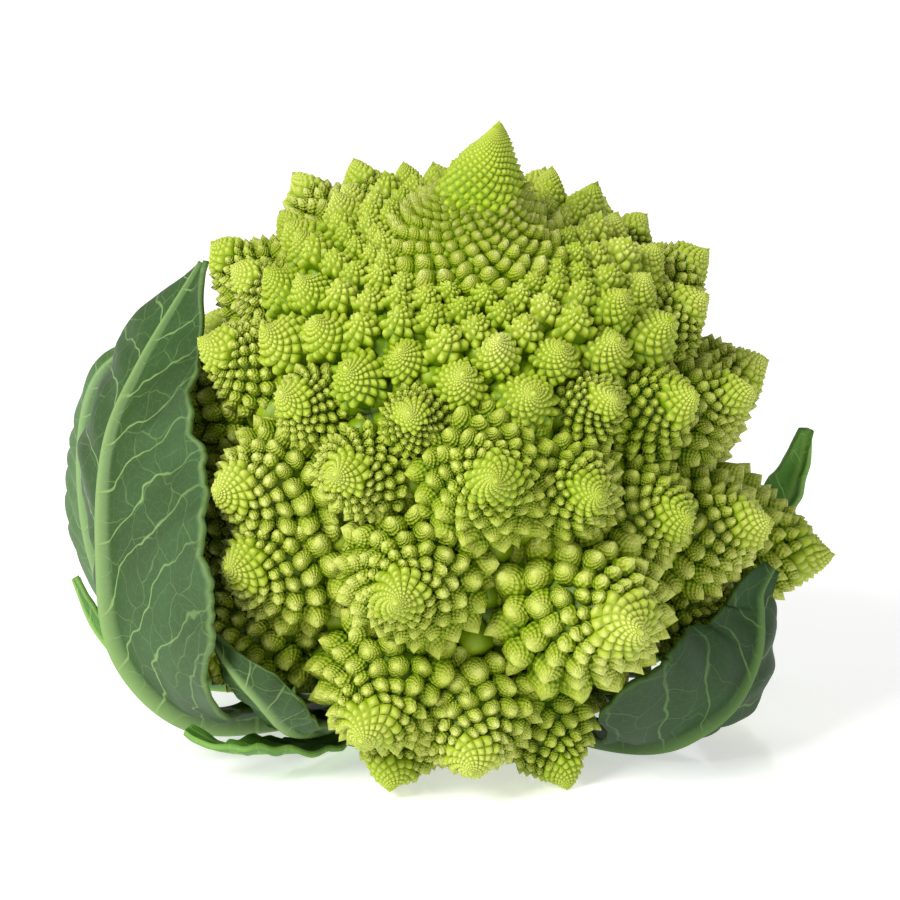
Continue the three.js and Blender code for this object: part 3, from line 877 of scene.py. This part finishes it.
# The blade's middle surface at s along the rib and q from -1 to 1 across it:
# an arc of the half's bend about the rib, with a ripple waveHeight q^2 sin(2 pi waves s) towards the edge
def bladeAt(shape, s, q):
    onRib, tangent, length = ribCurve(shape["rib"], s)
    ends = [unit(np.array(f, float)) for f in shape["face"]]
    inward = ends[0] + (ends[1] - ends[0]) * s[..., None]
    inward = unit(inward - (inward * tangent).sum(-1, keepdims=True) * tangent)
    across = np.cross(tangent, inward)
    side = np.sign(q)
    width = np.where(q < 0, spread(shape["widths"][0], s), spread(shape["widths"][1], s))
    bend = np.radians(np.where(q < 0, spread(shape["bends"][0], s), spread(shape["bends"][1], s)))
    half = width * edgeShare(s, side, shape["teeth"])
    d = np.abs(q) * half
    turn = bend / half
    turn = np.where(np.abs(turn) < 1e-5, 1e-5, turn)
    sideways = np.sin(turn * d) / turn
    inwards = (1 - np.cos(turn * d)) / turn
    ripple = shape["waveHeight"] * q**2 * np.sin(2 * math.pi * shape["waves"] * s + side)
    inwards = inwards + ripple * np.minimum(1, 4 * s)
    points = onRib + across * (side * sideways)[..., None] + inward * inwards[..., None]
    return points, half, length


# The blade's rib and the swelling between its side veins
bladeForm = {
    "ribTip": 0.9,  # half width of the rib's ridge at the tip, mm
    "ribWiden": 3.6,  # how much wider it is at the foot
    "ribTaper": 0.85,  # share of its height that it loses up to the tip
    "pucker": 0.5,  # swelling of the blade between the side veins, mm
    "veinSlant": 0.85,  # mm along the rib for each mm across it
    "veinCurve": 0.006,
}


# The place in the row of side veins, which lie where it is a whole number and a half: u along the rib
# and d across it, both mm; they slant towards the tip, curve, wander and alternate left and right
def veinPhase(u, d, q, spacing):
    wander = 1.6 * np.sin(u * 0.11 + np.sign(q)) + 1.1 * np.sin(u * 0.27 + 2)
    run = u - bladeForm["veinSlant"] * d + bladeForm["veinCurve"] * d**2 + wander
    return run / spacing + 0.5 * (q > 0)


# Two grids of points joined into a closed shell: faces of both, and quads along the four edges
def shellFaces(rows, columns):
    grid = np.arange((rows + 1) * (columns + 1)).reshape(rows + 1, columns + 1)
    a, b, c, e = [x.ravel() for x in (grid[:-1, :-1], grid[:-1, 1:], grid[1:, 1:], grid[1:, :-1])]
    shift = grid.size
    edges = [
        (grid[:-1, 0], grid[1:, 0]),
        (grid[1:, -1], grid[:-1, -1]),
        (grid[0, 1:], grid[0, :-1]),
        (grid[-1, :-1], grid[-1, 1:]),
    ]
    faces = [np.stack([a, b, c, e], axis=1), np.stack([a, e, c, b], axis=1) + shift]
    faces += [np.stack([p, r, r + shift, p + shift], axis=1) for p, r in edges]
    return np.concatenate(faces)


# A leaf: both faces of the blade, and on the outer face a rounded rib,
# ridge = ribHeight (1 - ribTaper s) cos^2 over its half width; the blade swells between the side veins
def makeLeaf(name, shape, rows, columns, veinSpacing, material):
    s, q = np.meshgrid(np.linspace(0, 1, rows + 1), np.linspace(-1, 1, 2 * columns + 1), indexing="ij")
    q = np.sign(q) * np.abs(q) ** 1.25
    middle, half, length = bladeAt(shape, s, q)
    ds, dq = 0.004, 0.02
    up = bladeAt(shape, np.minimum(1, s + ds), q)[0] - bladeAt(shape, np.maximum(0, s - ds), q)[0]
    sideways = bladeAt(shape, s, np.minimum(1, q + dq))[0] - bladeAt(shape, s, np.maximum(-1, q - dq))[0]
    normal = unit(np.cross(sideways, up))
    d = np.abs(q) * half
    ribWidth = np.minimum(0.5 * half, bladeForm["ribTip"] + bladeForm["ribWiden"] * (1 - s))
    ribHeight = shape["ribHeight"] * (1 - bladeForm["ribTaper"] * s)
    ridge = ribHeight * np.cos(np.minimum(1, d / ribWidth) * math.pi / 2) ** 2
    u = s * length
    phase = veinPhase(u, d, q, veinSpacing)
    swell = np.cos(2 * math.pi * phase) * smooth(2 * np.abs(q)) * smooth(4 * (1 - s))
    pucker = bladeForm["pucker"] * swell
    outer = middle - normal * (bladeThickness / 2 + ridge + pucker)[..., None]
    inner = middle + normal * (bladeThickness / 2 - pucker)[..., None]
    points = np.concatenate([inner.reshape(-1, 3), outer.reshape(-1, 3)])
    ribShare = np.cos(np.minimum(1, d / (ribWidth * 1.25)) * math.pi / 2) ** 2
    attributes = {
        "phase": np.tile(phase.ravel(), 2),
        "rib": np.concatenate([0.6 * ribShare.ravel(), ribShare.ravel()]),
        "edge": np.tile(np.abs(q).ravel(), 2),
        "across": np.tile((np.sign(q) * d).ravel() / 1000, 2),
        "run": np.tile(u.ravel() / 1000, 2),
    }
    piece = meshOf(name + "_blade", points, shellFaces(rows, 2 * columns), material, attributes)
    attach(piece, "root")
    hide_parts(name)


leafLook = {
    "warp": 90.0,  # a metre: wandering of the veins, 11 mm
    "warpBy": 0.009,  # metres
    "wideNet": 105.0,  # a metre: cells between the main net veins, 9.5 mm wide
    "fineNet": 420.0,  # a metre: 2.4 mm wide
    "clouds": 45.0,  # a metre: patches of bloom 22 mm wide
    "specks": 700.0,  # a metre: 1.4 mm wide
    "speckColour": "#2C4A1E",
}


# Leaf tissue: green blade under a pale bloom, pale midrib and side veins, a fine net of veins,
# a few dark specks, a paler edge; the bloom keeps the gloss low
def leafMaterial(name, blade, bloom, rib):
    material, add = newMaterial(name)
    keys = ("phase", "rib", "edge", "across", "run")
    onLeaf = {key: add("Attribute", output="Fac", attribute_name=key) for key in keys}
    place = add("TexCoord", output="Object")
    flat = add("CombineXYZ", {"X": onLeaf["run"], "Y": onLeaf["across"]})
    warp = add("TexNoise", {"Vector": flat, "Scale": leafLook["warp"], "Detail": 2.0}, "Color")
    bent = add("VectorMath", {0: warp, 1: (0.5, 0.5, 0.5)}, operation="SUBTRACT")
    bent = add("VectorMath", {0: bent, "Scale": leafLook["warpBy"]}, operation="SCALE")
    bent = add("VectorMath", {0: flat, 1: bent}, operation="ADD")
    clouds = add("TexNoise", {"Vector": place, "Scale": leafLook["clouds"], "Detail": 4.0})
    speckle = add("TexNoise", {"Vector": place, "Scale": leafLook["specks"], "Detail": 2.0})
    bloomed = add("MapRange", {"Value": clouds, 1: 0.35, 2: 0.68, 3: 0.1, 4: 0.9})
    specks = add("MapRange", {"Value": speckle, 1: 0.66, 2: 0.74, 3: 0.0, 4: 0.4})
    # side veins: thin lines where phase and 0.9 of the warp add up to a whole number, faint at the edge
    wander = add("SeparateXYZ", {0: warp})
    phase = add("Math", {0: wander, 1: 0.9, 2: onLeaf["phase"]}, operation="MULTIPLY_ADD")
    offset = add("Math", {0: phase}, operation="FRACT")
    offset = add("Math", {0: offset, 1: 0.5}, operation="SUBTRACT")
    offset = add("Math", {0: offset}, operation="ABSOLUTE")
    sideVein = add("MapRange", {"Value": offset, 1: 0.46, 2: 0.49, 3: 0.0, 4: 0.8})
    inside = add("MapRange", {"Value": onLeaf["edge"], 1: 0.35, 2: 1.0, 3: 1.0, 4: 0.35})
    sideVein = add("Math", {0: sideVein, 1: inside}, operation="MULTIPLY")
    nets = []
    for key, width, share in (("wideNet", 0.022, 0.34), ("fineNet", 0.06, 0.12)):
        toEdge = add(
            "TexVoronoi",
            {"Vector": bent, "Scale": leafLook[key]},
            "Distance",
            feature="DISTANCE_TO_EDGE",
            voronoi_dimensions="2D",
        )
        nets.append(add("MapRange", {"Value": toEdge, 1: 0.0, 2: width, 3: share, 4: 0.0}))
    midrib = add("Math", {0: onLeaf["rib"], 1: 0.95}, operation="MULTIPLY", use_clamp=True)
    margin = add("MapRange", {"Value": onLeaf["edge"], 1: 0.96, 2: 1.0, 3: 0.0, 4: 0.45})
    colour = linear(blade)
    layers = [(bloomed, bloom), (specks, leafLook["speckColour"])]
    layers += [(share, rib) for share in (*nets, sideVein, midrib, margin)]
    for share, over in layers:
        colour = add("Mix", {0: share, 6: colour, 7: linear(over)}, 2, data_type="RGBA")
    height = add("Math", {0: nets[0], 1: nets[1]}, operation="ADD")
    height = add("Math", {0: height, 1: sideVein}, operation="ADD")
    height = add("Math", {0: speckle, 1: 0.25, 2: height}, operation="MULTIPLY_ADD")
    shader = add(
        "BsdfPrincipled",
        {
            "Base Color": colour,
            "Roughness": add("MapRange", {"Value": clouds, 1: 0.0, 2: 1.0, 3: 0.50, 4: 0.68}),
            "Normal": add("Bump", {"Strength": 0.4, "Distance": 0.0003, "Height": height}),
            "IOR": 1.42,
        },
    )
    add("OutputMaterial", {0: shader})
    return material


# Blade, bloom and rib colours of each tissue
leafTissues = {
    "glaucous": ("#264312", "#365729", "#7E9E5A"),
    "pale": ("#466432", "#5C7E52", "#82A264"),
    "dark": ("#143404", "#1F4510", "#587A3A"),
    "young": ("#356A10", "#558A2C", "#8CB458"),
}
# Rows, columns of half a blade and mm between its side veins
largeLeafGrid = (200, 30, 12.5)
smallLeafGrid = (110, 14, 8.0)
largeLeaves = ("leaf_left_outer", "leaf_right_front")


# All leaves by their table
def makeLeaves():
    looks = {kind: leafMaterial(kind + " leaf tissue", *hexes) for kind, hexes in leafTissues.items()}
    for name, shape in leafTable.items():
        grid = largeLeafGrid if name in largeLeaves else smallLeafGrid
        makeLeaf(name, shape, *grid, looks[shape["kind"]])


makeLeaves()
print("stage: leaves")

# The stump keeps its solid and takes the stem's tissue
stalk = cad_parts["stalk"]
stalk.data.materials.clear()
stalk.data.materials.append(stemMaterial())


# A wide table of polished white acrylic, lit softly from below: a soft, slightly cloudy reflection
def makeTable():
    material, add = newMaterial("polished acrylic")
    place = add("TexCoord", output="Object")
    clouds = add("TexNoise", {"Vector": place, "Scale": 3.0})
    shader = add(
        "BsdfPrincipled",
        {
            "Base Color": linear("#FCFCFC"),
            "Roughness": add("MapRange", {"Value": clouds, 3: 0.08, 4: 0.12}),
            "IOR": 1.5,
            "Emission Color": (1, 1, 1, 1),
            "Emission Strength": 0.5,
        },
    )
    add("OutputMaterial", {0: shader})
    half = 6000.0  # mm
    points = np.array([[-half, -half, 0], [half, -half, 0], [half, half, 0], [-half, half, 0]])
    table = meshOf("table", points, np.array([[0, 1, 2, 3]]), material)


# Soft boxes: name, place in metres, size, power in watts
def makeLights():
    boxes = [
        ("key", (-0.8, -1.05, 0.95), 0.6, 27),
        ("top", (0.25, 0.35, 1.5), 0.8, 3),
        ("fill", (1.3, -0.9, 0.8), 0.9, 3),
    ]
    target = np.array([0, -0.03, 0.07])  # metres, the middle of the head
    for name, place, size, power in boxes:
        light = bpy.data.lights.new(name, "AREA")
        light.shape = "SQUARE"
        light.size = size
        light.energy = power
        lamp = bpy.data.objects.new(name, light)
        lamp.location = place
        aim = target - np.array(place)
        tilt = math.atan2(math.hypot(aim[0], aim[1]), -aim[2])
        lamp.rotation_euler = (tilt, 0, math.atan2(-aim[0], aim[1]))
        bpy.context.scene.collection.objects.link(lamp)
    # a white studio: bright walls round the horizon, a dim ceiling
    world = bpy.data.worlds.new("studio")
    world.use_nodes = True
    tree = world.node_tree
    direction = addNode(tree, "TexCoord", output="Generated")
    height = addNode(tree, "SeparateXYZ", {0: direction}, "Z")
    height = addNode(tree, "Math", {0: height}, operation="ABSOLUTE")
    strength = addNode(tree, "MapRange", {"Value": height, 1: 0.15, 2: 0.45, 3: 1.04, 4: 0.10})
    background = tree.nodes["Background"]
    background.inputs["Color"].default_value = (1, 1, 1, 1)
    tree.links.new(strength, background.inputs["Strength"])
    bpy.context.scene.world = world
    bpy.context.scene.view_settings.view_transform = "Standard"


# The photograph's view: 11 degrees down, from 0.9 m away
view = {
    "place": (0, -0.8834, 0.2472),  # metres
    "tilt": 78.97,  # degrees up from straight down
    "lens": 150,  # mm
    "sensor": 36,  # mm
    "side": 900,  # of the picture, pixels
    "shift": (-11.6, -49.0),  # pixels
}


def makeCamera():
    lens = bpy.data.cameras.new("camera")
    lens.lens = view["lens"]
    lens.sensor_width = view["sensor"]
    lens.shift_x = view["shift"][0] / view["side"]
    lens.shift_y = view["shift"][1] / view["side"]
    camera = bpy.data.objects.new("camera", lens)
    camera.location = view["place"]
    camera.rotation_euler = (math.radians(view["tilt"]), 0, 0)
    bpy.context.scene.collection.objects.link(camera)
    bpy.context.scene.camera = camera


makeTable()
makeLights()
makeCamera()
print("stage: table, lights and camera")
